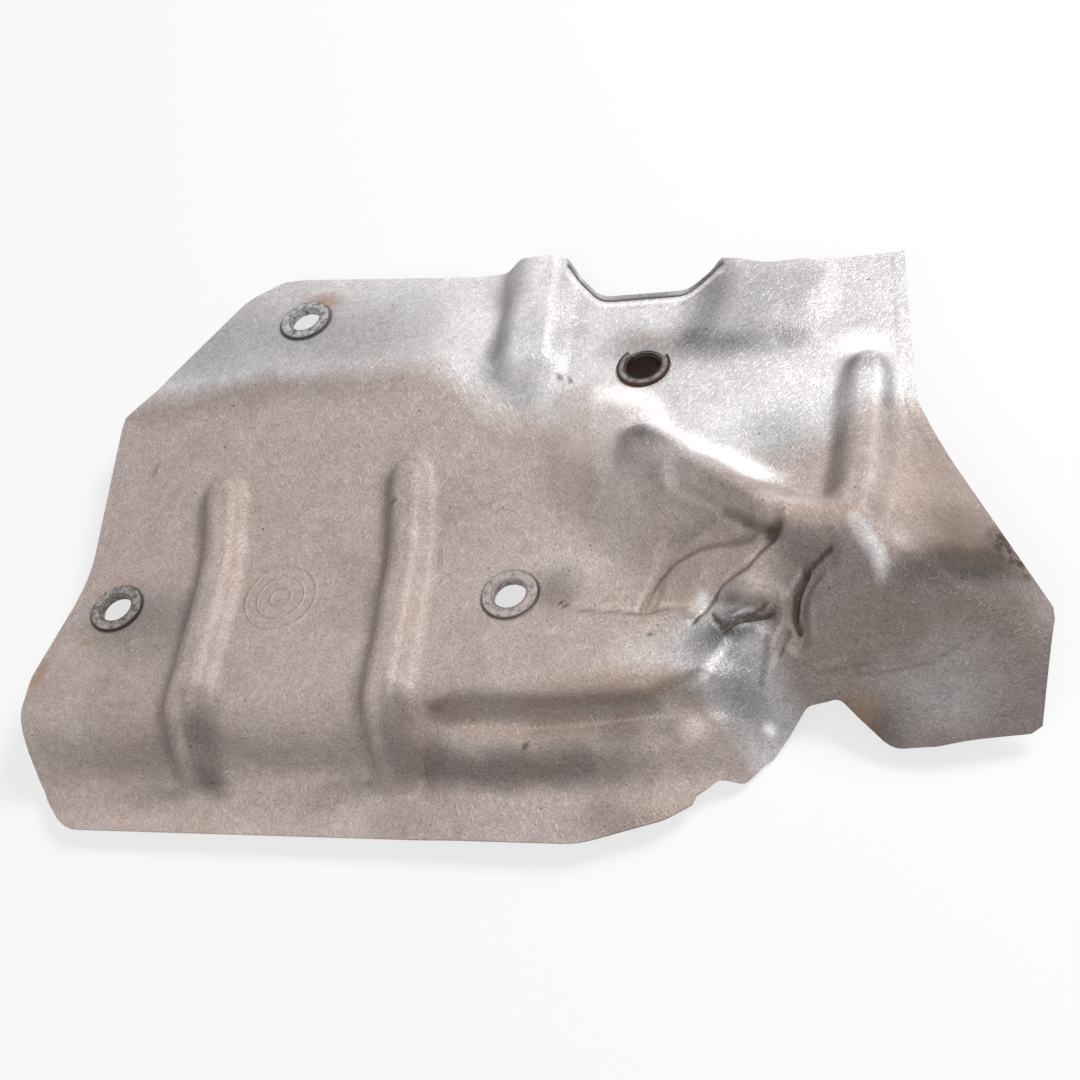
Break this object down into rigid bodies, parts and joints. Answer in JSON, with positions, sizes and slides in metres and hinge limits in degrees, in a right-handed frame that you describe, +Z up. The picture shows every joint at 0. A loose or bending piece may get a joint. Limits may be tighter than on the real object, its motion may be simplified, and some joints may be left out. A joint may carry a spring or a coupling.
{
  "type": "exhaust heat shield",
  "caption": "Pressed sheet heat shield with stiffening beads, a stepped plateau and crimped fixing eyelets, used and dented, lying as it comes to rest",
  "frame": {"origin": "middle of the bounding box's underside, on the ground the shield rests on", "axes": "+X along the shield's length toward the wing, +Y from the near lip to the notched far edge, +Z up"},
  "size_m": [0.292, 0.1922, 0.0395],
  "materials": {
    "sheet": "heat-tinted, speckled and dull, with rust specks",
    "eyelets": "dull galvanised steel",
    "bush": "dull grey steel with a rusty rim"
  },
  "bodies": {
    "root": {"shield_sheet": "sheet", "eyelet_upper_left": "eyelets", "eyelet_lower_left": "eyelets", "eyelet_centre": "eyelets", "spacer_bush": "bush"}
  },
  "joints": []
}
